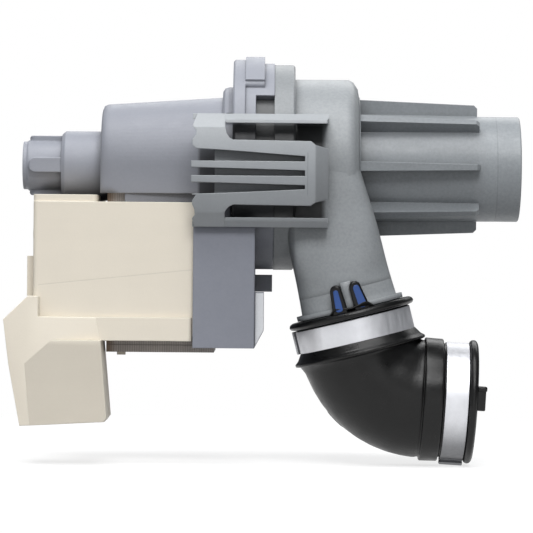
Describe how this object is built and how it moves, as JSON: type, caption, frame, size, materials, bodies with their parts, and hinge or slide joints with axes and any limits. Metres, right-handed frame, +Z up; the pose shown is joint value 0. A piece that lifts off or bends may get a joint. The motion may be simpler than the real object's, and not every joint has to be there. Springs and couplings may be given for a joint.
{
  "type": "dishwasher circulation pump",
  "caption": "Canned-rotor circulation pump: U-core motor, volute with ribbed axial suction pipe, clamped rubber discharge elbow, latch bracket and plug socket.",
  "frame": {"origin": "centre of the suction pipe's mouth, in the plane of its end", "axes": "+X out of the suction mouth along the rotor axis, +Z up and away from the coils, -Y to the front, where the discharge duct and the latch bracket are"},
  "size_m": [0.2225, 0.0976, 0.1775],
  "materials": {
    "motor_plastic": "fine matt grain",
    "pump_plastic": "satin, glass-filled",
    "pipe_plastic": "satin, glass-filled",
    "cream_plastic": "satin",
    "white_plastic": "satin",
    "elbow_rubber": "matt, moulded",
    "seal_rubber": "matt",
    "stainless_band": "rolled strip",
    "shaft_steel": "ground",
    "tinned_blade": "tinned",
    "core_steel": "stamped laminations",
    "ferrite": "pressed and sintered",
    "ceramic": "ground ceramic",
    "copper_wire": "enamelled wire"
  },
  "bodies": {
    "pump_body": {"volute_housing": "pump_plastic", "suction_pipe": "pipe_plastic", "wear_ring": "ceramic", "latch_bracket": "pump_plastic", "motor_casing": "motor_plastic", "rotor_can": "motor_plastic", "bearing_plate": "motor_plastic", "front_bearing": "ceramic", "rear_bearing": "ceramic", "front_bearing_mount": "seal_rubber", "rear_bearing_mount": "seal_rubber", "can_seal": "seal_rubber", "volute_seal": "seal_rubber", "lamination_core": "core_steel", "core_rivets": "shaft_steel", "front_bobbin": "white_plastic", "rear_bobbin": "white_plastic", "front_winding": "copper_wire", "rear_winding": "copper_wire", "coil_cover": "cream_plastic", "connector_housing": "cream_plastic", "terminal_blades": "tinned_blade", "stator_shroud": "motor_plastic", "discharge_elbow": "elbow_rubber", "inlet_clamp": "stainless_band", "outlet_clamp": "stainless_band"},
    "rotor": {"rotor_shaft": "shaft_steel", "rotor_magnet": "ferrite", "magnet_end_caps": "white_plastic", "thrust_washer": "ceramic", "drive_dog": "white_plastic"},
    "impeller": {"impeller": "white_plastic", "impeller_shroud": "white_plastic"}
  },
  "joints": [
    {"name": "rotor_spin", "type": "hinge", "parent": "pump_body", "child": "rotor", "pos_m": [0, 0, 0], "axis": [1, 0, 0], "continuous": true},
    {"name": "impeller_play", "type": "hinge", "parent": "rotor", "child": "impeller", "pos_m": [0, 0, 0], "axis": [-1, 0, 0], "range_deg": [0, 236]}
  ]
}
